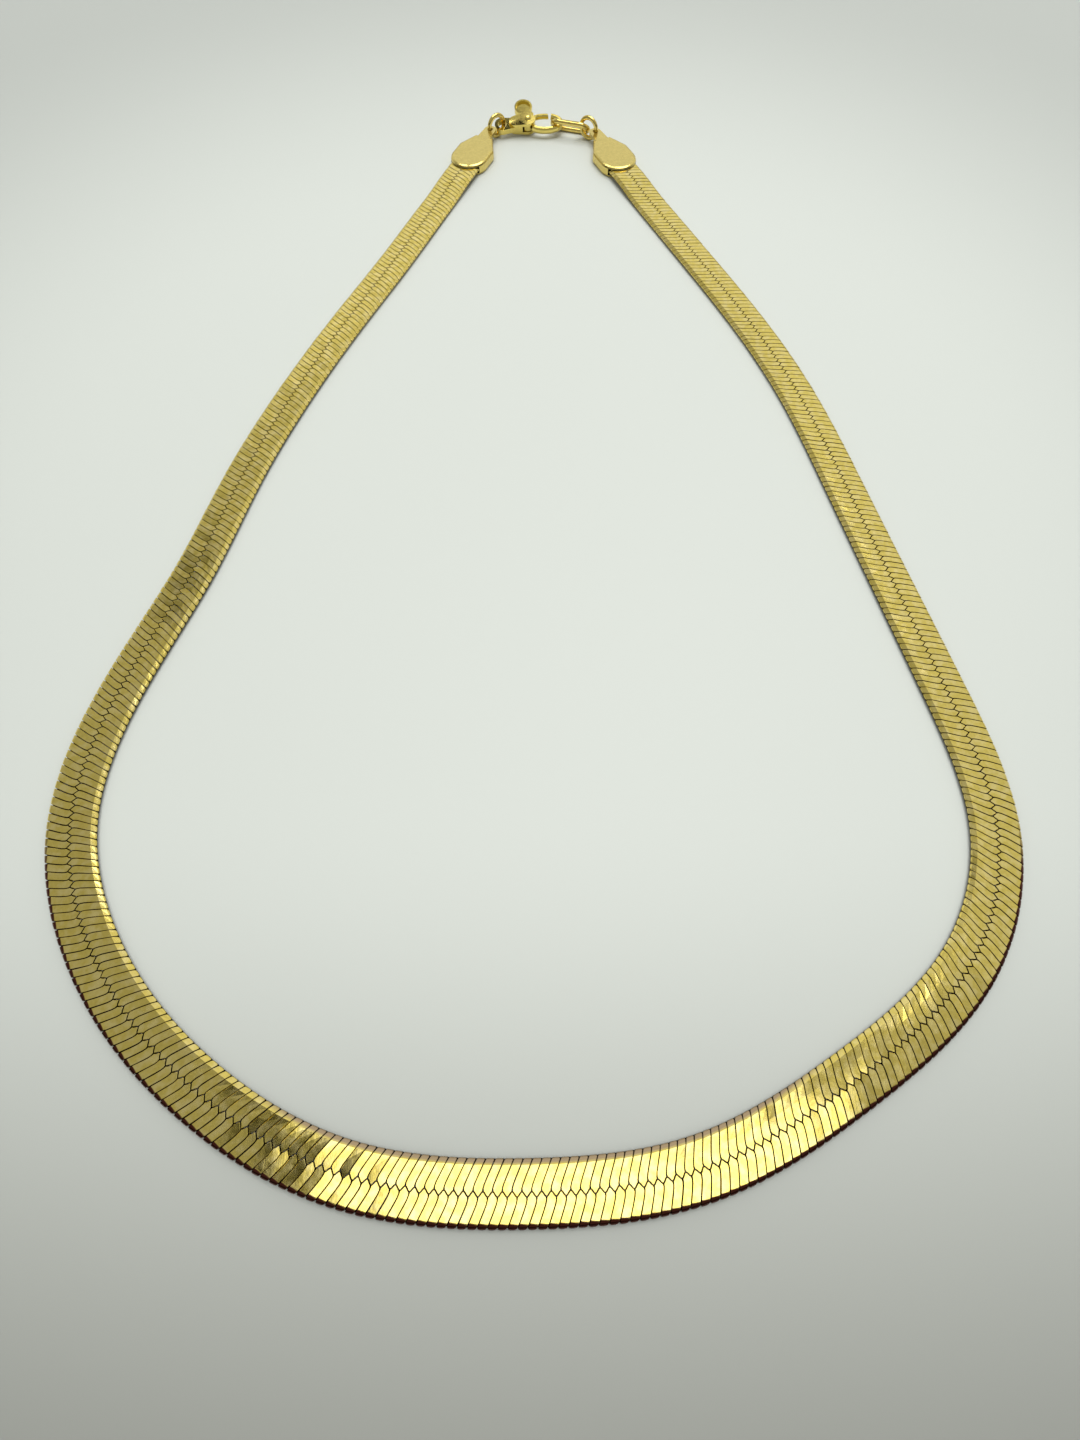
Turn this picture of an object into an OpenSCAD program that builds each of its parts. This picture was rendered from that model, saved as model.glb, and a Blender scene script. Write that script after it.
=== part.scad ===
// Herringbone chain: a flat woven necklace that lies in a teardrop loop, closed by a small lobster clasp.
// It lies on the XY plane with its front towards -Y. The origin is under the middle of its outline.

/* [Loop] */
// Width of the route that the band's middle line follows
loop_w = 95.5; // [90:0.5:101]
// Distance from the front of that route back to the clasp's pivot
loop_len = 154.2; // [148:0.2:160]

/* [Band] */
// Width of the woven band
band_w = 5; // [4.6:0.1:5.4]
// Thickness of the woven band
band_t = 0.8; // [0.7:0.05:0.9]
// How far the rounded link ends reach in from each side edge
edge_round = 0.45; // [0.35:0.05:0.5]
// Length over which each end of the band climbs from the table into its cap
climb_len = 9; // [7:0.5:11]

/* [End caps] */
// Thickness of the folded sheet
cap_sheet = 0.35; // [0.3:0.05:0.4]
// Side wall of the cap beside the band
cap_wall = 0.5; // [0.4:0.05:0.6]
// Clearance between the band's end and the pocket that holds it
pocket_play = 0.05; // [0.03:0.01:0.08]
// Length of the band inside the pocket
cap_grip = 5.4; // [5:0.1:6]
// Length of the tapered shoulders
shoulder_len = 3.2; // [3:0.1:3.4]
// Width of the neck between the shoulders and the tongue
neck_w = 2.9; // [2.6:0.1:3.2]
// Thickness of the pierced tongue
tongue_t = 0.5; // [0.4:0.05:0.6]
// Distance from the shoulders' end to the middle of the tongue's hole
tongue_reach = 2.2; // [2:0.1:2.5]
// Metal around the tongue's hole
tongue_rim = 0.5; // [0.45:0.05:0.55]
// Rounding of the shield's edges
cap_round = 0.35; // [0.2:0.05:0.4]
// Turn of the left cap from straight back
left_cap_turn = 23; // [20:1:26]
// Turn of the right cap from straight back
right_cap_turn = 24.5; // [22:0.5:27]

/* [Jump rings] */
// Outer diameter of each jump ring
ring_od = 3.5; // [3.4:0.1:3.6]
// Wire of the jump rings
ring_wire = 0.65; // [0.6:0.05:0.7]
// Clearance of the wire in the holes and eyes that it passes through
ring_play = 0.04; // [0.03:0.01:0.08]
// Height of the upright rings over the table
ring_lift = 0.03; // [0.02:0.01:0.05]
// Turn of the left ring's plane from the X axis
left_ring_turn = 35; // [30:1:40]
// Turn of the right ring's plane from the X axis
right_ring_turn = -31; // [-36:1:-26]

/* [Clasp] */
// Place of the lever's pivot, seen from above
pivot_at = [-2.1, 143.2]; // [-10:0.1:150]
// Height of the clasp's middle plane at the pivot
clasp_z = 1.5; // [1.45:0.05:1.6]
// Lean of the clasp about its own length, with the tab side up
clasp_lean = 15; // [8:1:18]
// Thickness of the clasp's body
body_t = 1.8; // [1.7:0.05:1.9]
// Radius of the cheeks around the pivot
cheek_r = 1.35; // [1.2:0.05:1.5]
// Distance from the pivot back to the middle of the tail eye
tail_back = 4.3; // [4.1:0.1:4.5]
// Offset of the tail eye towards the fixed jaw
tail_side = 0.7; // [0.5:0.1:0.9]
// Thickness of the tail eye
eye_t = 0.8; // [0.7:0.05:0.9]
// Metal around the tail eye's hole
eye_rim = 0.5; // [0.45:0.05:0.7]
// Thickness of the round jaws
jaw_d = 1; // [0.9:0.05:1.1]
// Length of the jaws' oval, measured along the middle of the metal
jaw_len = 5.4; // [5.2:0.1:5.8]
// Width of the jaws' oval, measured along the middle of the metal
jaw_wide = 2.8; // [2.7:0.1:2.9]

/* [Lever] */
// Thickness of the lever between the cheeks
lever_t = 0.8; // [0.7:0.05:0.9]
// Side clearance of the lever in its slot
slot_play = 0.06; // [0.05:0.01:0.1]
// Distance from the pivot to the lever's tip
lever_reach = 3.65; // [3.5:0.05:3.7]
// Gap between the lever's tip and the hook
tip_gap = 0.12; // [0.1:0.01:0.15]
// Diameter of the round thumb tab
tab_d = 3; // [2.8:0.1:3.3]
// Distance from the pivot to the middle of the thumb tab
tab_out = 2.9; // [2.7:0.1:3.2]
// Direction of the thumb tab from the pivot
tab_turn = 105; // [95:1:110]
// Height of the tab's raised rim
tab_rim = 0.3; // [0.2:0.05:0.4]

/* [Rivet] */
// Diameter of the rivet's shank
rivet_d = 0.8; // [0.7:0.05:0.9]
// Radial running clearance of the lever on the rivet
rivet_play = 0.03; // [0.02:0.01:0.06]
// Diameter of the rivet's domed heads
rivet_head_d = 1.2; // [1.1:0.05:1.4]

/* [Connector link] */
// Outer length of the oval link
link_len = 7; // [6.8:0.1:7.2]
// Outer width of the oval link
link_w = 3.6; // [3.5:0.1:3.7]
// Wire of the oval link
link_wire = 0.75; // [0.7:0.05:0.8]
// Lean of the oval link from upright, with its top towards the front
link_lean = 48; // [45:1:52]
// Turn of the oval link's length from the X axis
link_turn = -16; // [-18:1:-14]
// Gap between the link's end and the hook's metal
link_gap = 0.45; // [0.4:0.05:0.5]
// Place of the right ring's middle from the link's end wire, along and beside the link
ring_seat = [0.15, -0.4]; // [-0.5:0.05:0.2]

/* [Hidden] */
$fn = 48;

// Route of the band's middle line seen from above, in curve points from the left end round the front to the right end
route = [[-22, 107.5], [-28, 94], [-33.5, 79.5], [-38, 65], [-40.5, 50.5], [-46, 36], [-48.5, 20.5], [-41.5, 6.5],
    [-30.5, -3.5], [-16.5, -10.5], [-1, -11], [14, -10], [27.5, -2.5], [40.5, 6], [47, 20], [44, 35.5],
    [41, 50], [38, 65], [35, 80], [30, 94.5], [24, 108]];
route_size = [max([for (p = route) p[0]]) - min([for (p = route) p[0]]), pivot_at[1] - min([for (p = route) p[1]])];
loop_route = [for (p = route) [p[0] * loop_w / route_size[0],
    pivot_at[1] + (p[1] - pivot_at[1]) * loop_len / route_size[1]]];
route_step = 16;
rings_per_span = 6;
edge_facets = 5;

// A point at length r and angle a
function polar(r, a) = [r * cos(a), r * sin(a)];
function turned(p, a) = [p[0] * cos(a) - p[1] * sin(a), p[0] * sin(a) + p[1] * cos(a)];

// Jump ring: its wire passes through a plate between heights z1 and z2 at these distances from the ring's middle
ring_z = ring_od / 2 + ring_lift;
function nearest_height(z1, z2) = max(0, ring_z - z2, z1 - ring_z);
function farthest_height(z1, z2) = max(abs(ring_z - z1), abs(ring_z - z2));
function wire_in(z1, z2) = sqrt(max(0, pow(ring_od / 2 - ring_wire, 2) - pow(farthest_height(z1, z2), 2)));
function wire_out(z1, z2) = sqrt(pow(ring_od / 2, 2) - pow(nearest_height(z1, z2), 2));
function hole_d(z1, z2) = wire_out(z1, z2) - wire_in(z1, z2) + 2 * ring_play;
function hole_at(z1, z2) = (wire_out(z1, z2) + wire_in(z1, z2)) / 2;

// End cap, measured from the pocket's closed end, with the band towards -Y
pocket_w = band_w + 2 * pocket_play;
pocket_h = band_t + 2 * pocket_play;
cap_w = pocket_w + 2 * cap_wall;
cap_h = pocket_h + 2 * cap_sheet;
cap_r = cap_w / 2;
lip_back = cap_grip - cap_r;
tongue_z = [cap_h - tongue_t, cap_h];
tongue_hole = hole_d(tongue_z[0], tongue_z[1]);
tongue_arm = hole_at(tongue_z[0], tongue_z[1]);
tongue_w = tongue_hole + 2 * tongue_rim;
corner_up = cap_wall;
tongue_root = 0.6;
tongue_drop = 0.01;
strip = 0.1;
hole_y = corner_up + shoulder_len + tongue_reach;
band_lift = cap_sheet + pocket_play;

// Tail eye: the lean widens its hole and carries it lower
eye_z = clasp_z - tail_side * sin(clasp_lean);
eye_half = eye_t / 2 / cos(clasp_lean) + ring_wire * tan(clasp_lean) * sin(left_ring_turn);
eye_hole = hole_d(eye_z - eye_half, eye_z + eye_half) + eye_t * sin(clasp_lean);
eye_arm = hole_at(eye_z - eye_half, eye_z + eye_half);
eye_od = eye_hole + 2 * eye_rim;
tail_at = pivot_at + [-tail_back, -tail_side * cos(clasp_lean)];

// Left side: clasp, ring, cap and band end, one after the other
left_ring_at = tail_at - polar(eye_arm, left_ring_turn);
left_hole_at = left_ring_at - polar(tongue_arm, left_ring_turn);
left_along = [sin(left_cap_turn), cos(left_cap_turn)];
left_cap_at = left_hole_at - hole_y * left_along;
left_end = left_cap_at - pocket_play * left_along;

// Jaws' oval, measured from the pivot, and the arcs of it that the hook and the lever's jaw take up
jaw_mid = [0.2 + jaw_len / 2, -0.1];
hook_x = jaw_mid[0] + jaw_len / 2;
hook_arc = [66, -168];
lever_arc = [172, 40];

// Right side: link, ring, cap and band end
link_r = (link_w - link_wire) / 2;
link_side = 0.2;
link_z = link_w / 2 * cos(link_lean) + link_wire / 2 * (1 - cos(link_lean)) + ring_lift;
link_start = pivot_at + [hook_x - jaw_d / 2 - link_gap - link_wire, link_side];
link_mid = link_start + polar(link_len / 2, link_turn);
link_end = link_start + polar(link_len - link_wire / 2, link_turn);
right_ring_at = link_end + turned(ring_seat, link_turn);
right_hole_at = right_ring_at + polar(tongue_arm, right_ring_turn);
right_along = [-sin(right_cap_turn), cos(right_cap_turn)];
right_cap_at = right_hole_at - hole_y * right_along;
right_end = right_cap_at - pocket_play * right_along;

// Band: an even cubic curve through both ends, in the direction of each cap
curve = concat([left_end + route_step * left_along, left_end, left_end - route_step * left_along], loop_route,
    [right_end - route_step * right_along, right_end, right_end + route_step * right_along]);
function bend(p, i, u) = (pow(1 - u, 3) * p[i] + (3 * pow(u, 3) - 6 * u * u + 4) * p[i + 1]
    + (1 + 3 * u + 3 * u * u - 3 * pow(u, 3)) * p[i + 2] + pow(u, 3) * p[i + 3]) / 6;
function bend_way(p, i, u) = (-pow(1 - u, 2) * p[i] + (3 * u * u - 4 * u) * p[i + 1]
    + (1 + 2 * u - 3 * u * u) * p[i + 2] + u * u * p[i + 3]) / 2;
spans = len(curve) - 3;
ring_count = spans * rings_per_span;
function span_of(k) = min(floor(k / rings_per_span), spans - 1);
function share_of(k) = k / rings_per_span - span_of(k);
middle_line = [for (k = [0:ring_count]) bend(curve, span_of(k), share_of(k))];
middle_way = [for (k = [0:ring_count]) let (w = bend_way(curve, span_of(k), share_of(k))) w / norm(w)];

// Outline's middle, which the origin stands under
mid_x = (min([for (p = middle_line) p[0]]) + max([for (p = middle_line) p[0]])) / 2;
front_y = min([for (p = middle_line) p[1]]) - band_w / 2;
tab_at = polar(tab_out, tab_turn);
back_y = pivot_at[1] + tab_at[1] * cos(clasp_lean) + tab_d / 2 * cos(clasp_lean);
mid_y = (front_y + back_y) / 2;
module laid() {
    translate([-mid_x, -mid_y, 0]) children();
}

// Closed skin round a row of rings, each a list of the same number of points
module skin(rings) {
    n = len(rings[0]);
    last = len(rings) - 1;
    sides = [for (k = [0:last - 1], j = [0:n - 1]) [k * n + j, k * n + (j + 1) % n, (k + 1) * n + (j + 1) % n,
        (k + 1) * n + j]];
    start = [for (j = [n - 1:-1:0]) j];
    end = [for (j = [0:n - 1]) last * n + j];
    polyhedron(points = [for (r = rings) each r], faces = concat([start], sides, [end]), convexity = 10);
}

// Half round side edges joined by flat faces, as [across, up], clockwise seen along the band
function side_edge(sign, from) = [for (j = [0:edge_facets]) let (a = from - 180 * j / edge_facets)
    [sign * (band_w / 2 - edge_round) + edge_round * cos(a), band_t / 2 * (1 + sin(a))]];
band_section = concat(side_edge(1, 90), side_edge(-1, 270));
function climb(s) = let (u = (s - cap_grip - cap_sheet) / climb_len)
    u <= 0 ? band_lift : u >= 1 ? 0 : band_lift * (1 + cos(180 * u)) / 2;
function end_distance(p) = min(norm(p - left_end), norm(p - right_end));
module herringbone_band() {
    color("goldenrod") laid() skin([for (k = [0:ring_count])
        let (p = middle_line[k], w = middle_way[k], z = climb(end_distance(p)))
        [for (q = band_section) [p[0] + w[1] * q[0], p[1] - w[0] * q[0], z + q[1]]]]);
}

// Shield outline of the cap, drawn in by the amount d
module shield(d = 0) {
    hull() {
        translate([0, -lip_back]) circle(r = cap_r - d, $fn = 40);
        translate([-cap_r + d, corner_up - strip - d]) square([cap_w - 2 * d, strip]);
        translate([-neck_w / 2, corner_up + shoulder_len - strip - d]) square([neck_w, strip]);
    }
}
// Slice of the cap that starts at height z and is drawn in by the amount d
module cap_slice(z, d) {
    translate([0, 0, z]) linear_extrude(cap_h - 2 * z) shield(d);
}
module end_cap() {
    corner = cap_round * (1 - cos(45));
    difference() {
        union() {
            hull() {
                cap_slice(cap_round, 0);
                cap_slice(corner, corner);
                cap_slice(0, cap_round);
            }
            translate([0, 0, tongue_z[0]]) linear_extrude(tongue_t - tongue_drop) hull() {
                translate([-neck_w / 2 + cap_round, corner_up + shoulder_len - tongue_root])
                    square([neck_w - 2 * cap_round, strip]);
                translate([0, hole_y]) circle(d = tongue_w, $fn = 40);
            }
        }
        translate([-pocket_w / 2, -cap_grip - 1, cap_sheet]) cube([pocket_w, cap_grip + 1, pocket_h]);
        translate([0, hole_y, 0]) cylinder(d = tongue_hole, h = cap_h + 1);
    }
}
module left_end_cap() {
    color("gold") laid() translate(left_cap_at) rotate(-left_cap_turn) end_cap();
}
module right_end_cap() {
    color("gold") laid() translate(right_cap_at) rotate(right_cap_turn) end_cap();
}

module jump_ring() {
    translate([0, 0, ring_z]) rotate([90, 0, 0]) rotate_extrude()
        translate([(ring_od - ring_wire) / 2, 0]) circle(d = ring_wire);
}
module left_jump_ring() {
    color("goldenrod") laid() translate(left_ring_at) rotate(left_ring_turn) jump_ring();
}
module right_jump_ring() {
    color("goldenrod") laid() translate(right_ring_at) rotate(right_ring_turn) jump_ring();
}

// Clasp's own frame: pivot at the origin, hook towards +X, lever and tab towards +Y
module in_clasp() {
    laid() translate([pivot_at[0], pivot_at[1], clasp_z]) rotate([clasp_lean, 0, 0]) children();
}
// Round bar along the jaws' oval from angle a1 back to a smaller angle a2
jaw_sides = 10;
jaw_steps = 22;
function jaw_point(a) = jaw_mid + [jaw_len / 2 * cos(a), jaw_wide / 2 * sin(a)];
function jaw_out(a) = let (v = [jaw_wide * cos(a), jaw_len * sin(a)]) v / norm(v);
module jaw_bar(a1, a2, d) {
    skin([for (k = [0:jaw_steps]) let (a = a1 + (a2 - a1) * k / jaw_steps, p = jaw_point(a), o = jaw_out(a))
        [for (j = [0:jaw_sides - 1]) let (t = -360 * j / jaw_sides)
            [p[0] + o[0] * d / 2 * cos(t), p[1] + o[1] * d / 2 * cos(t), d / 2 * sin(t)]]]);
}
// Middle of the tail, where the body's flat cheeks end
tail_mid = [-tail_back / 2, -tail_side * 0.6];
tail_mid_r = cheek_r * 0.72;
cheek_fall = 0.15;
module clasp_body() {
    color("darkgoldenrod") in_clasp() difference() {
        union() {
            hull() {
                translate([0, 0, -body_t / 2]) cylinder(r = cheek_r, h = body_t, $fn = 32);
                translate([tail_mid[0], tail_mid[1], -body_t / 2 + cheek_fall])
                    cylinder(r = tail_mid_r, h = body_t - 2 * cheek_fall, $fn = 32);
            }
            hull() {
                translate([-tail_back, -tail_side, -eye_t / 2]) cylinder(d = eye_od, h = eye_t, $fn = 32);
                translate([tail_mid[0], tail_mid[1], -eye_t / 2]) cylinder(r = tail_mid_r, h = eye_t, $fn = 32);
            }
            jaw_bar(hook_arc[0], hook_arc[1], jaw_d);
        }
        translate([-tail_back, -tail_side, -body_t]) cylinder(d = eye_hole, h = 2 * body_t);
        lever_room();
        translate([0, 0, -body_t]) cylinder(d = rivet_d + rivet_play, h = 2 * body_t);
    }
}
// Space that the lever's root sweeps, and the arc in front of the lever's tip
slot_h = lever_t + 2 * slot_play;
slot_r = cheek_r + jaw_d / 4;
mouth_at = [1, 0.35];
module lever_room() {
    translate([0, 0, -slot_h / 2]) cylinder(r = slot_r, h = slot_h);
    intersection() {
        translate([0, 0, -body_t]) cylinder(r = lever_reach + tip_gap, h = 2 * body_t, $fn = 96);
        translate([mouth_at[0], mouth_at[1], -body_t]) cube([lever_reach, jaw_wide, 2 * body_t]);
    }
}
// Lever's root stays this far inside the cheeks, and its arm grows from the first radius to the second
root_inset = 0.1;
arm_from = 0.4;
arm_r = [0.7, 0.9];
module clasp_lever() {
    color("gold") in_clasp() difference() {
        union() {
            translate([0, 0, -lever_t / 2]) cylinder(r = cheek_r - root_inset, h = lever_t);
            intersection() {
                jaw_bar(lever_arc[0], lever_arc[1], lever_t);
                translate([0, 0, -body_t]) cylinder(r = lever_reach, h = 2 * body_t, $fn = 96);
            }
            hull() {
                translate([0, arm_from, -lever_t / 2]) cylinder(r = arm_r[0], h = lever_t, $fn = 32);
                translate([tab_at[0], tab_at[1], -lever_t / 2]) cylinder(r = arm_r[1], h = lever_t, $fn = 32);
            }
            translate([tab_at[0], tab_at[1], -lever_t / 2]) cylinder(d = tab_d, h = lever_t);
        }
        translate([0, 0, -body_t]) cylinder(d = rivet_d + 2 * rivet_play, h = 2 * body_t);
        translate([tab_at[0], tab_at[1], lever_t / 2 - tab_rim])
            cylinder(d = tab_d - 2 * tab_rim, h = tab_rim + 1);
    }
}
module clasp_rivet() {
    color("goldenrod") in_clasp() {
        translate([0, 0, -body_t / 2]) cylinder(d = rivet_d, h = body_t);
        for (side = [0, 1]) mirror([0, 0, side]) translate([0, 0, body_t / 2]) rotate_extrude() intersection() {
            translate([0, -rivet_head_d / 4]) circle(d = rivet_head_d * sqrt(5) / 2);
            square([rivet_head_d / 2, rivet_head_d]);
        }
    }
}

module connector_link() {
    half = link_len / 2 - link_w / 2;
    color("gold") laid() translate([link_mid[0], link_mid[1], link_z]) rotate([0, 0, link_turn])
        rotate([90 + link_lean, 0, 0]) {
            for (side = [0, 1]) mirror([side, 0, 0]) translate([half, 0, 0]) {
                rotate(-90) rotate_extrude(angle = 180) translate([link_r, 0]) circle(d = link_wire);
            }
            for (side = [-1, 1]) translate([-half, side * link_r, 0]) rotate([0, 90, 0])
                cylinder(d = link_wire, h = 2 * half);
        }
}

herringbone_band();
left_end_cap();
right_end_cap();
left_jump_ring();
clasp_body();
clasp_lever();
clasp_rivet();
connector_link();
right_jump_ring();
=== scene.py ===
import math
import random

import bmesh
import bpy
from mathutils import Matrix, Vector


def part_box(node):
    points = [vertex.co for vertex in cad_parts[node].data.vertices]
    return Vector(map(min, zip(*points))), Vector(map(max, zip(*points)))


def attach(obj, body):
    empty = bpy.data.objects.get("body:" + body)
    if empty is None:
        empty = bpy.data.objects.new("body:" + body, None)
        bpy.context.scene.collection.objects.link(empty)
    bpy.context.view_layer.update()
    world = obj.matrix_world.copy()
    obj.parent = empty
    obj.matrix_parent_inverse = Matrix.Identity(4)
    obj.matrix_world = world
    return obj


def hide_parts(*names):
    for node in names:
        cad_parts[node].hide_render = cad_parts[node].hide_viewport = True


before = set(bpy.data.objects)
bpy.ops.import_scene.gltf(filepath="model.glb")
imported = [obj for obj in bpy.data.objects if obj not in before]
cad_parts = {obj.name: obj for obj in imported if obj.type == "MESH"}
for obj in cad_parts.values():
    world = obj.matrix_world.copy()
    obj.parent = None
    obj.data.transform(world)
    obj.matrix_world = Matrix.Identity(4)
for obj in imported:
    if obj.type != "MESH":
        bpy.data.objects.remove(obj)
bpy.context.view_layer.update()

# Camera
# A phone held low over the front of the loop and tipped towards the clasp, as the photo was taken.
# Its wide view makes the front of the band look large and the clasp small.
PHOTO_LONG_SIDE = 1440
FOCAL_PIXELS = 717
CAMERA_FOOT = Vector((0.0008, -0.0670, 0.070))
CAMERA_TIP = math.radians(24.64)
camera_data = bpy.data.cameras.new("photo_camera")
camera_data.sensor_width = 36
camera_data.lens = 36 * FOCAL_PIXELS / PHOTO_LONG_SIDE
camera_data.clip_start = 0.001
camera_data.clip_end = 20
camera = bpy.data.objects.new("photo_camera", camera_data)
camera.location = CAMERA_FOOT
camera.rotation_euler = (CAMERA_TIP, 0, 0)
bpy.context.scene.collection.objects.link(camera)
bpy.context.scene.camera = camera

# Table
# A smooth white table top of painted board, wider than the view, with a faint grain in its coat.
# It only carries the necklace and isn't part of it.


def new_material(name, colour, metallic, roughness):
    material = bpy.data.materials.new(name)
    material.use_nodes = True
    shader = material.node_tree.nodes["Principled BSDF"]
    shader.inputs["Base Color"].default_value = (*colour, 1)
    shader.inputs["Metallic"].default_value = metallic
    shader.inputs["Roughness"].default_value = roughness
    return material


def add_node(material, kind, **settings):
    node = material.node_tree.nodes.new(kind)
    for name, value in settings.items():
        if name in node.inputs:
            node.inputs[name].default_value = value
        else:
            setattr(node, name, value)
    return node


def join_nodes(material, source, output, target, socket):
    material.node_tree.links.new(source.outputs[output], target.inputs[socket])


def object_noise(material, scale, detail=4.0, roughness=0.55, stretch=None):
    coordinates = add_node(material, "ShaderNodeTexCoord")
    texture = add_node(material, "ShaderNodeTexNoise", Scale=scale, Detail=detail, Roughness=roughness)
    if stretch:
        mapping = add_node(material, "ShaderNodeMapping", Scale=stretch)
        join_nodes(material, coordinates, "Object", mapping, "Vector")
        join_nodes(material, mapping, "Vector", texture, "Vector")
    else:
        join_nodes(material, coordinates, "Object", texture, "Vector")
    return texture


def finish_mesh(name, bm, material, smooth=True):
    for face in bm.faces:
        face.smooth = smooth
    return keep_mesh(name, bm, material)


def keep_mesh(name, bm, material):
    mesh = bpy.data.meshes.new(name)
    bm.to_mesh(mesh)
    bm.free()
    mesh.materials.append(material)
    piece = bpy.data.objects.new(name, mesh)
    bpy.context.scene.collection.objects.link(piece)
    return piece


# The table's colour carries painted shade: a painted shadow darkens it towards the front, and a painted light falloff
# darkens it away from the middle.
TABLE_PAINTED_SHADOW = (0.31, 0.31, 0.285)
TABLE_FAR = (0.71, 0.735, 0.705)
PAINTED_SHADOW_FROM = -0.115
PAINTED_SHADOW_TO = -0.045
LIT_REACH = 0.055
DIM_REACH = 0.145
DIM_SHARE = 0.72
TABLE_HALF = 1.2
table_finish = new_material("table_coat", TABLE_FAR, 0, 0.5)
table_shader = table_finish.node_tree.nodes["Principled BSDF"]
table_grain = object_noise(table_finish, 900, 3)
table_bump = add_node(table_finish, "ShaderNodeBump", Strength=0.05, Distance=0.0001)
join_nodes(table_finish, table_grain, "Fac", table_bump, "Height")
join_nodes(table_finish, table_bump, "Normal", table_shader, "Normal")
table_place = add_node(table_finish, "ShaderNodeTexCoord")
table_axes = add_node(table_finish, "ShaderNodeSeparateXYZ")
join_nodes(table_finish, table_place, "Object", table_axes, "Vector")
# Painted shadow: the colour fades to the darker near colour towards the front.
table_painted_shadow = add_node(table_finish, "ShaderNodeMapRange", interpolation_type="SMOOTHSTEP")
table_painted_shadow.inputs["From Min"].default_value = PAINTED_SHADOW_FROM
table_painted_shadow.inputs["From Max"].default_value = PAINTED_SHADOW_TO
join_nodes(table_finish, table_axes, "Y", table_painted_shadow, "Value")
table_mix = add_node(table_finish, "ShaderNodeMix", data_type="RGBA")
table_mix.inputs[6].default_value = (*TABLE_PAINTED_SHADOW, 1)
table_mix.inputs[7].default_value = (*TABLE_FAR, 1)
join_nodes(table_finish, table_painted_shadow, "Result", table_mix, "Factor")
table_reach = add_node(table_finish, "ShaderNodeVectorMath", operation="DISTANCE")
table_reach.inputs[1].default_value = (0, 0, 0)
join_nodes(table_finish, table_place, "Object", table_reach, "Vector")
# Painted light falloff: the colour darkens with the distance from the middle.
table_painted_falloff = add_node(table_finish, "ShaderNodeMapRange", interpolation_type="SMOOTHSTEP")
table_painted_falloff.inputs["From Min"].default_value = LIT_REACH
table_painted_falloff.inputs["From Max"].default_value = DIM_REACH
table_painted_falloff.inputs["To Min"].default_value = 1.0
table_painted_falloff.inputs["To Max"].default_value = DIM_SHARE
join_nodes(table_finish, table_reach, "Value", table_painted_falloff, "Value")
table_colour = add_node(table_finish, "ShaderNodeVectorMath", operation="SCALE")
table_finish.node_tree.links.new(table_mix.outputs[2], table_colour.inputs[0])
join_nodes(table_finish, table_painted_falloff, "Result", table_colour, "Scale")
join_nodes(table_finish, table_colour, "Vector", table_shader, "Base Color")
table_bm = bmesh.new()
bmesh.ops.create_grid(table_bm, x_segments=8, y_segments=8, size=TABLE_HALF)
table = finish_mesh("table_top", table_bm, table_finish, False)

# Light
# A soft lamp high over the clasp with a narrow black flag under it, and a pale room behind the clasp.
# Bright and dark areas of the ceiling, and a dark room behind the camera, show as reflections in the band.


def area_light(name, place, aim, size, power, colour):
    data = bpy.data.lights.new(name, "AREA")
    data.shape = "RECTANGLE"
    data.size = size[0]
    data.size_y = size[1]
    data.energy = power
    data.color = colour
    light = bpy.data.objects.new(name, data)
    light.location = place
    light.rotation_euler = (Vector(aim) - Vector(place)).to_track_quat("-Z", "Y").to_euler()
    bpy.context.scene.collection.objects.link(light)
    return light


SOFTBOX_HEIGHT = 0.6
SOFTBOX_FOOT = (0.03, 0.23)
SOFTBOX_SIZE = (0.54, 0.50)
SOFTBOX_POWER = 3.2
SOFTBOX_COLOUR = (1.0, 1.0, 0.97)
FLAG_SIZE = (0.090, 0.380)
FLAG_FOOT = (-0.055, 0.290)
FLAG_DROP = 0.02
area_light("softbox", (*SOFTBOX_FOOT, SOFTBOX_HEIGHT), (*SOFTBOX_FOOT, 0), SOFTBOX_SIZE, SOFTBOX_POWER, SOFTBOX_COLOUR)
flag_card = new_material("black_felt", (0.004, 0.004, 0.005), 0, 1.0)
flag_bm = bmesh.new()
bmesh.ops.create_grid(flag_bm, x_segments=1, y_segments=1, size=0.5)
bmesh.ops.scale(flag_bm, verts=flag_bm.verts[:], vec=(*FLAG_SIZE, 1))
bmesh.ops.translate(flag_bm, verts=flag_bm.verts[:], vec=(*FLAG_FOOT, SOFTBOX_HEIGHT - FLAG_DROP))
flag = finish_mesh("lamp_flag", flag_bm, flag_card, False)

world = bpy.data.worlds.new("room")
bpy.context.scene.world = world
world.use_nodes = True
background = world.node_tree.nodes["Background"]


def room_math(operation, first, second=None, clamp=False):
    step = world.node_tree.nodes.new("ShaderNodeMath")
    step.operation = operation
    step.use_clamp = clamp
    for socket, value in zip(step.inputs, (first, second)):
        if value is None:
            continue
        if isinstance(value, (int, float)):
            socket.default_value = value
        else:
            world.node_tree.links.new(value, socket)
    return step.outputs[0]


def room_ramp(value, low, high):
    """0 below low, 1 above high, smooth between."""
    step = world.node_tree.nodes.new("ShaderNodeMapRange")
    step.interpolation_type = "SMOOTHSTEP"
    step.inputs["From Min"].default_value = low
    step.inputs["From Max"].default_value = high
    world.node_tree.links.new(value, step.inputs["Value"])
    return step.outputs["Result"]


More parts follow.
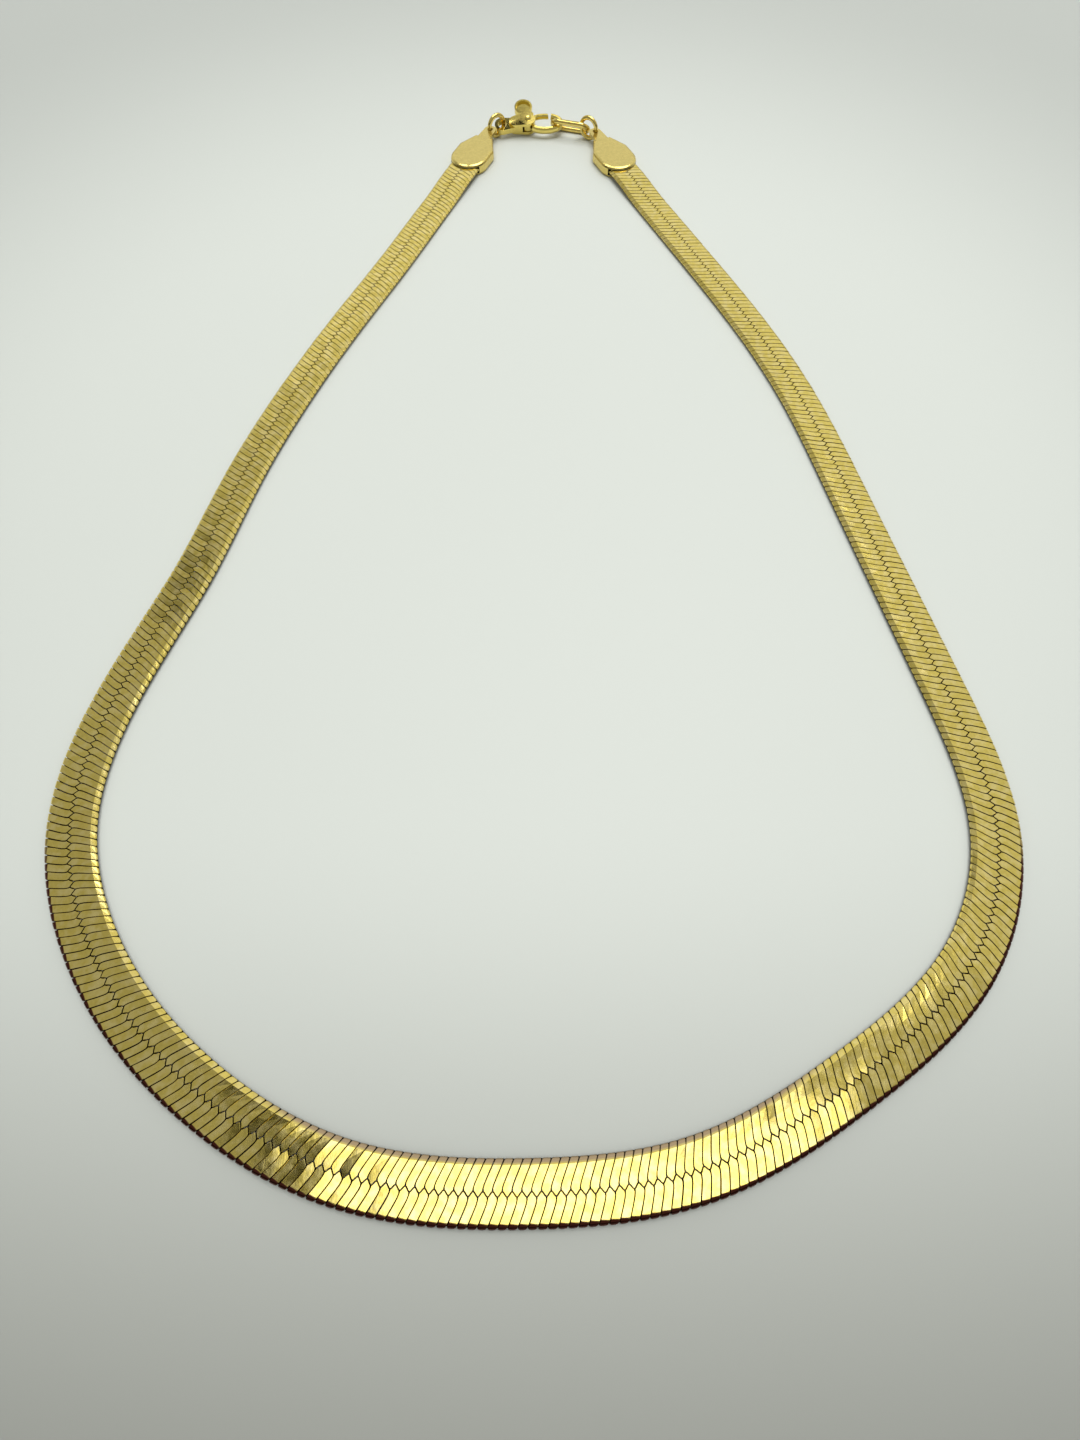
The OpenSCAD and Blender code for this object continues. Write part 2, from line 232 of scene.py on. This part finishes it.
ROOM_LEVEL = 0.38
ROOM_RISE = 0.14
BRIGHTER = 0.65
DARK_SIDE_LEFT = 0.24
LAMP_LEVEL = 2.0
SHADOW_DEPTH = 0.97
KINK_DEPTH = 0.6
way_up = world.node_tree.nodes.new("ShaderNodeTexCoord")
parts = world.node_tree.nodes.new("ShaderNodeSeparateXYZ")
world.node_tree.links.new(way_up.outputs["Generated"], parts.inputs[0])
to_x, to_y, to_z = parts.outputs
safe_z = room_math("MAXIMUM", to_z, 0.02)
ceiling_x = room_math("DIVIDE", to_x, safe_z)
ceiling_y = room_math("DIVIDE", to_y, safe_z)
walls = world.node_tree.nodes.new("ShaderNodeTexNoise")
walls.inputs["Scale"].default_value = 7
walls.inputs["Detail"].default_value = 2
world.node_tree.links.new(way_up.outputs["Generated"], walls.inputs["Vector"])
uneven = room_math("ADD", room_math("MULTIPLY", walls.outputs["Fac"], 0.2), 0.9)
pale = room_math("ADD", room_math("MULTIPLY", room_ramp(to_y, 0.1, 0.9), ROOM_RISE), ROOM_LEVEL)
behind = room_ramp(ceiling_y, 0.95, 1.4)
right = room_math("MULTIPLY", room_ramp(ceiling_x, 0.2, 0.5), room_ramp(ceiling_y, -0.06, 0.12))
brighter = room_math("MULTIPLY", room_math("MAXIMUM", behind, right), BRIGHTER)
brighter = room_math("MULTIPLY", brighter, room_ramp(to_z, 0.15, 0.4))
pale = room_math("MULTIPLY", pale, room_math("ADD", brighter, 1))
pale = room_math("MULTIPLY", pale, uneven)
far_side = room_ramp(room_math("ADD", to_y, room_math("MULTIPLY", to_z, 0.25)), -0.25, 0.3)
dark_side = room_math("MAXIMUM", far_side, room_ramp(to_z, 0.2, 0.36))
pale = room_math("MULTIPLY", pale, room_math("ADD", room_math("MULTIPLY", dark_side, 1 - DARK_SIDE_LEFT),
    DARK_SIDE_LEFT))


def room_patch(centre, half, soft):
    """1 inside a rectangle of the ceiling, 0 outside it."""
    inside = None
    for place, middle, reach in zip((ceiling_x, ceiling_y), centre, half):
        off = room_math("ABSOLUTE", room_math("SUBTRACT", place, middle))
        side = room_math("SUBTRACT", 1, room_ramp(off, reach - soft, reach + soft))
        inside = side if inside is None else room_math("MULTIPLY", inside, side)
    return room_math("MULTIPLY", inside, room_ramp(to_z, 0.05, 0.2))


lamp = room_patch((0.072, -0.155), (0.318, 0.11), 0.03)
shadow = room_patch((-0.308, -0.12), (0.045, 0.09), 0.02)
kink = room_patch((-0.60, 0.72), (0.05, 0.08), 0.02)
shadow = room_math("MAXIMUM", shadow, room_math("MULTIPLY", kink, KINK_DEPTH))
pale = room_math("MULTIPLY", pale, room_math("SUBTRACT", 1, room_math("MULTIPLY", shadow, SHADOW_DEPTH)))
pale = room_math("ADD", pale, room_math("MULTIPLY", lamp, LAMP_LEVEL))
background.inputs["Color"].default_value = (0.97, 1.0, 0.95, 1)
world.node_tree.links.new(pale, background.inputs["Strength"])
bpy.context.scene.view_settings.view_transform = "Standard"

# Woven band
# Two rows of slanted links made from flattened brass wire, pressed flat, polished on top and gold plated.
# Each link hooks into its neighbours, and the rows meet in a zigzag of rounded tips along the middle.
BAND_WIDTH = 0.005
BAND_THICKNESS = 0.0008
EDGE_ROUND = 0.00045
LINK_PITCH = 0.0008
# The middle line's points are in millimetres, as in the part's source
ROUTE = [(-22, 107.5), (-28, 94), (-33.5, 79.5), (-38, 65), (-40.5, 50.5), (-46, 36), (-48.5, 20.5), (-41.5, 6.5),
    (-30.5, -3.5), (-16.5, -10.5), (-1, -11), (14, -10), (27.5, -2.5), (40.5, 6), (47, 20), (44, 35.5),
    (41, 50), (38, 65), (35, 80), (30, 94.5), (24, 108)]
ROUTE_STEP = 16
LEFT_END = Vector((-10.72, 135.65))
RIGHT_END = Vector((11.79, 135.06))
LEFT_CAP_TURN = math.radians(23)
RIGHT_CAP_TURN = math.radians(24.5)
CLIMB_START = 0.00575
CLIMB_LENGTH = 0.009
CLIMB_HEIGHT = 0.0004


def route_curve():
    """Middle line of the band in metres, a smooth curve from cap to cap, set where the CAD band lies."""
    left_way = Vector((math.sin(LEFT_CAP_TURN), math.cos(LEFT_CAP_TURN)))
    right_way = Vector((-math.sin(RIGHT_CAP_TURN), math.cos(RIGHT_CAP_TURN)))
    points = [LEFT_END + ROUTE_STEP * left_way, LEFT_END, LEFT_END - ROUTE_STEP * left_way]
    points += [Vector(p) for p in ROUTE]
    points += [RIGHT_END - ROUTE_STEP * right_way, RIGHT_END, RIGHT_END + ROUTE_STEP * right_way]
    curve = []
    steps = 40
    for i in range(len(points) - 3):
        for k in range(steps):
            u = k / steps
            a, b, c, d = points[i:i + 4]
            curve.append(((1 - u) ** 3 * a + (3 * u ** 3 - 6 * u * u + 4) * b
                + (1 + 3 * u + 3 * u * u - 3 * u ** 3) * c + u ** 3 * d) / 6)
    curve.append(RIGHT_END.copy())
    low_x = min(p.x for p in curve)
    low_y = min(p.y for p in curve)
    band_low, band_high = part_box("herringbone_band")
    shift = Vector((band_low[0] * 1000 + BAND_WIDTH * 500 - low_x, band_low[1] * 1000 + BAND_WIDTH * 500 - low_y))
    return [(p + shift) / 1000 for p in curve]


middle_line = route_curve()
run = [0.0]
for before, after in zip(middle_line, middle_line[1:]):
    run.append(run[-1] + (after - before).length)
band_length = run[-1]


def along_band(s):
    """Point, direction and height of the middle line at the length s from the left end."""
    s = min(max(s, 0.0), band_length)
    low, high = 0, len(run) - 1
    while high - low > 1:
        half = (low + high) // 2
        if run[half] <= s:
            low = half
        else:
            high = half
    share = (s - run[low]) / (run[high] - run[low])
    point = middle_line[low].lerp(middle_line[high], share)
    before = middle_line[max(low - 1, 0)]
    after = middle_line[min(high + 1, len(middle_line) - 1)]
    way = (after - before).normalized()
    end = min(s, band_length - s)
    u = min(max((end - CLIMB_START) / CLIMB_LENGTH, 0), 1)
    return point, way, CLIMB_HEIGHT * (1 + math.cos(math.pi * u)) / 2


link_count = round(band_length / LINK_PITCH)
pitch = band_length / link_count
HALF = BAND_WIDTH / 2
FLAT = HALF - EDGE_ROUND
TIP = 0.00018
SEAM = 0.00006
BEVEL = 0.00003
CROWN = 0.00002
MOST_TILT = 0.03
# How much the painted shade in the seams eases off towards the back of the loop, and where.
SEAM_SHADE_EASE = 0.45
SEAM_SHADE_EASE_FROM = -0.02
SEAM_SHADE_EASE_OVER = 0.05
# Where the painted dark reflection on the outer edge starts, towards the front of the loop.
OUTER_REFLECTION_FROM = -0.045
# Where the painted taupe reflection on the inner edge lies, across the front of the loop.
INNER_REFLECTION_MIDDLE = 0.001
INNER_REFLECTION_REACH = 0.026
MARK_FADE = 0.008
OUTER_SIDE = -1
OUTER_REACH = -1.02
INNER_REACH = 1.16
TIP_STATIONS = [(-TIP, 0.05), (-TIP * 0.6, 0.15), (0.0, 0.25), (TIP * 0.6, 0.36), (TIP, 0.47), (TIP * 2, 0.5),
    (0.0007, 0.5), (0.0012, 0.5)]
OUTER_END = [(FLAT - 0.0001, 0.5), (FLAT, 0.5), (FLAT + EDGE_ROUND * 0.4, 0.49), (FLAT + EDGE_ROUND * 0.7, 0.46),
    (FLAT + EDGE_ROUND * 0.88, 0.38), (HALF, 0.2)]
INNER_END = [(FLAT, 0.5), (FLAT + EDGE_ROUND * 0.75, 0.48), (FLAT + EDGE_ROUND * 0.93, 0.42), (HALF, 0.28)]
UNDER_SPREAD = [(0, 1.0), (TIP * 2, 1.07), (FLAT, 1.08), (FLAT + EDGE_ROUND * 0.7, 1.22), (HALF, 1.3)]
OUTER_PROFILE = [(0, 1.0), (0.4, 0.86), (0.7, 0.64), (0.88, 0.42), (1, 0.14)]
INNER_PROFILE = [(0, 1.0), (0.75, 0.45), (0.93, 0.28), (1, 0.1)]


def seam_drift(v, reach):
    """How far a seam has moved along the band at the distance v from the middle: straight at first, then slanted."""
    x = min(max(v / HALF, 0), 1)
    early = 0.14
    slant = math.sqrt((max(x - early, 0)) ** 2 + 0.01) - 0.1
    return reach * pitch * slant / (math.sqrt((1 - early) ** 2 + 0.01) - 0.1)


def between(x, points):
    """Reads a short table of pairs, with straight stretches between its rows."""
    for (x0, y0), (x1, y1) in zip(points, points[1:]):
        if x <= x1:
            return y0 + (y1 - y0) * (x - x0) / (x1 - x0)
    return points[-1][1]


def link_shape(side, reach, stations):
    """One flat bar with a rounded tip at the middle of the band and a beaded end at the band's edge."""
    bm = bmesh.new()
    bmesh.ops.create_grid(bm, x_segments=1, y_segments=len(stations) - 1, size=1)
    rows = sorted({round(v.co.y, 4) for v in bm.verts})
    for vert in bm.verts:
        v, half_width = stations[rows.index(round(vert.co.y, 4))]
        wide = half_width * pitch - SEAM / 2
        back = SEAM * 0.6 if v < 0.0005 else 0
        vert.co = (vert.co.x * wide + seam_drift(v, reach), side * (v + back), BAND_THICKNESS)
    if side < 0:
        bmesh.ops.reverse_faces(bm, faces=bm.faces[:])
    bmesh.ops.inset_region(bm, faces=bm.faces[:], thickness=BEVEL, depth=0, use_boundary=True, use_even_offset=True)
    rim = [v for v in bm.verts if v.is_boundary]
    bmesh.ops.translate(bm, verts=rim, vec=(0, 0, -BEVEL * 0.9))
    copied = bmesh.ops.duplicate(bm, geom=bm.verts[:] + bm.edges[:] + bm.faces[:])["geom"]
    under = [g for g in copied if isinstance(g, bmesh.types.BMVert)]
    for vert in under:
        v = abs(vert.co.y)
        centre = seam_drift(v, reach)
        vert.co.x = centre + (vert.co.x - centre) * between(v, UNDER_SPREAD)
        vert.co.z = BAND_THICKNESS - vert.co.z
    bmesh.ops.reverse_faces(bm, faces=[g for g in copied if isinstance(g, bmesh.types.BMFace)])
    bmesh.ops.bridge_loops(bm, edges=[e for e in bm.edges if e.is_boundary])
    bmesh.ops.recalc_face_normals(bm, faces=bm.faces[:])
    return bm


def lay_row(side, reach, end, profile, name, material):
    """Repeats the link along the band, each with a tilt of its own, and marks painted shade in the seams, a painted
    dark reflection on the outer edge and a painted taupe reflection on the inner edge, both at the front.
    """
    link = link_shape(side, reach, TIP_STATIONS + end)
    pattern = bpy.data.meshes.new("link_pattern")
    link.to_mesh(pattern)
    link.free()
    bm = bmesh.new()
    seam_shade = bm.verts.layers.float.new("seam_shade")
    outer_reflection_mark = bm.verts.layers.float.new("outer_edge_reflection")
    inner_reflection_mark = bm.verts.layers.float.new("inner_edge_reflection")
    chance = random.Random(11 + side)
    done = 0
    for k in range(link_count):
        middle = (k + (0.5 if side < 0 else 1.0)) * pitch
        bm.from_mesh(pattern)
        bm.verts.ensure_lookup_table()
        tilt_s = min(max(chance.gauss(0, 0.015), -MOST_TILT), MOST_TILT)
        tilt_v = chance.gauss(0, 0.005)
        narrow = 1 - abs(chance.gauss(0, 0.02))
        for vert in bm.verts[done:]:
            s, v, z = vert.co
            over = max(abs(v) - FLAT, 0) / EDGE_ROUND
            top = z > BAND_THICKNESS / 2
            depth = 0.0 if z > BAND_THICKNESS - BEVEL * 0.5 else (0.5 if top else 1.0)
            half = BAND_THICKNESS / 2
            z = half + (z - half) * between(over, profile)
            if top:
                z += tilt_s * s + tilt_v * (abs(v) - HALF / 2) - CROWN * (v / HALF) ** 2 - 0.00001
            centre = seam_drift(abs(v), reach)
            s = centre + (s - centre) * narrow
            run_s = min(max(middle + s, 0.0), band_length)
            point, way, lift = along_band(run_s)
            flat = point + Vector((-way.y, way.x)) * v + way * (middle + s - run_s)
            # Painted shade in the seams: the link's walls below the top bevel get a dark brown mark, less of it
            # towards the back of the loop.
            vert[seam_shade] = depth * (1 - SEAM_SHADE_EASE * min(max((flat.y - SEAM_SHADE_EASE_FROM) / SEAM_SHADE_EASE_OVER, 0), 1))
            if side < 0:
                # Painted dark reflection on the outer edge at the front of the loop.
                at_edge = 1.0 if abs(v) > FLAT - 0.00001 else 0.0
                vert[outer_reflection_mark] = at_edge * min(max((OUTER_REFLECTION_FROM - flat.y) / MARK_FADE, 0), 1)
            elif flat.y < 0:
                # Painted taupe reflection on the inner edge at the front, standing in for a reflected grey room.
                inside = min(max((INNER_REFLECTION_REACH - abs(flat.x - INNER_REFLECTION_MIDDLE)) / MARK_FADE, 0), 1)
                vert[inner_reflection_mark] = min(over * 4, 1.0) * inside
            vert.co = (flat.x, flat.y, max(z, 0.0) + lift)
        done = len(bm.verts)
    bpy.data.meshes.remove(pattern)
    return finish_mesh(name, bm, material, False)


def gold(name, colour, roughness, wear=0.35, grain=2200, lumps=0.05, scratches=0.10):
    """Polished plate: mottled tint, roughness worn uneven by rubbing, faint lumps and fine straight scratches."""
    material = new_material(name, colour, 1, roughness)
    shader = material.node_tree.nodes["Principled BSDF"]
    tint = object_noise(material, grain * 1.5, 3)
    warm = add_node(material, "ShaderNodeMix", data_type="RGBA")
    warm.inputs[6].default_value = (*[c * 0.74 for c in colour], 1)
    warm.inputs[7].default_value = (min(colour[0] * 1.05, 1), min(colour[1] * 1.06, 1), colour[2] * 1.15, 1)
    join_nodes(material, tint, "Fac", warm, "Factor")
    material.node_tree.links.new(warm.outputs[2], shader.inputs["Base Color"])
    rub = object_noise(material, grain * 0.25, 5, 0.6)
    spread = add_node(material, "ShaderNodeMapRange")
    spread.inputs["From Min"].default_value = 0.3
    spread.inputs["From Max"].default_value = 0.7
    spread.inputs["To Min"].default_value = roughness * (1 - wear)
    spread.inputs["To Max"].default_value = roughness * (1 + wear)
    join_nodes(material, rub, "Fac", spread, "Value")
    join_nodes(material, spread, "Result", shader, "Roughness")
    lump = object_noise(material, grain, 2)
    low = add_node(material, "ShaderNodeBump", Strength=lumps, Distance=0.00005)
    join_nodes(material, lump, "Fac", low, "Height")
    lines = object_noise(material, grain * 2, 3, 0.7, (1.0, 0.06, 1.0))
    fine = add_node(material, "ShaderNodeBump", Strength=scratches, Distance=0.00001)
    join_nodes(material, lines, "Fac", fine, "Height")
    join_nodes(material, low, "Normal", fine, "Normal")
    join_nodes(material, fine, "Normal", shader, "Normal")
    return material, warm, shader


woven_finish, woven_warm, woven_shader = gold("woven_gold", (0.93, 0.72, 0.17), 0.11)


def darken(material, colour_output, shader, attribute, colour, low, high):
    """Mixes in a dark colour where the attribute rises from low to high."""
    mark = add_node(material, "ShaderNodeAttribute", attribute_name=attribute)
    ramp = add_node(material, "ShaderNodeMapRange")
    ramp.inputs["From Min"].default_value = low
    ramp.inputs["From Max"].default_value = high
    join_nodes(material, mark, "Fac", ramp, "Value")
    mix = add_node(material, "ShaderNodeMix", data_type="RGBA")
    mix.inputs[7].default_value = (*colour, 1)
    join_nodes(material, ramp, "Result", mix, "Factor")
    material.node_tree.links.new(colour_output, mix.inputs[6])
    material.node_tree.links.new(mix.outputs[2], shader.inputs["Base Color"])
    return mix.outputs[2]


patches = object_noise(woven_finish, 1100, 2)
patch_share = add_node(woven_finish, "ShaderNodeMapRange")
patch_share.inputs["From Min"].default_value = 0.42
patch_share.inputs["From Max"].default_value = 0.66
patch_share.inputs["To Max"].default_value = 0.6
join_nodes(woven_finish, patches, "Fac", patch_share, "Value")
cream = add_node(woven_finish, "ShaderNodeMix", data_type="RGBA")
cream.inputs[7].default_value = (0.97, 0.80, 0.36, 1)
join_nodes(woven_finish, patch_share, "Result", cream, "Factor")
woven_finish.node_tree.links.new(woven_warm.outputs[2], cream.inputs[6])
# Painted taupe reflection on the inner edge at the front.
inner_edge_reflected = darken(woven_finish, cream.outputs[2], woven_shader, "inner_edge_reflection", (0.50, 0.36, 0.22), 0.1, 0.6)
# Painted dark reflection: dark red-brown on the outer edge at the front.
outer_edge_reflected = darken(woven_finish, inner_edge_reflected, woven_shader, "outer_edge_reflection", (0.10, 0.026, 0.017), 0.1, 0.7)
# Painted shade in the seams between links, dark brown on the links' walls.
darken(woven_finish, outer_edge_reflected, woven_shader, "seam_shade", (0.07, 0.048, 0.013), 0.1, 0.75)
outer_row = lay_row(OUTER_SIDE, OUTER_REACH, OUTER_END, OUTER_PROFILE, "outer_link_row", woven_finish)
inner_row = lay_row(-OUTER_SIDE, INNER_REACH, INNER_END, INNER_PROFILE, "inner_link_row", woven_finish)
for row_piece in (outer_row, inner_row):
    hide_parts("herringbone_band")
    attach(row_piece, "necklace")

# End caps, rings, clasp and link
# These stay the solids of the CAD part, cast or folded and gold plated, and only get their finish here.
cap_finish, _, _ = gold("cap_gold", (0.84, 0.66, 0.20), 0.24, 0.25, 1500, 0.02, 0.03)
clasp_finish, _, _ = gold("clasp_gold", (0.93, 0.73, 0.19), 0.08, 0.3, 1800, 0.01, 0.02)
wire_finish, _, _ = gold("wire_gold", (0.93, 0.71, 0.20), 0.12, 0.4, 1800, 0.02, 0.03)
for node_name, finish in (("left_end_cap", cap_finish), ("right_end_cap", cap_finish), ("clasp_body", clasp_finish),
        ("clasp_lever", clasp_finish), ("clasp_rivet", clasp_finish), ("left_jump_ring", wire_finish),
        ("right_jump_ring", wire_finish), ("connector_link", wire_finish)):
    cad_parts[node_name].material_slots[0].material = finish
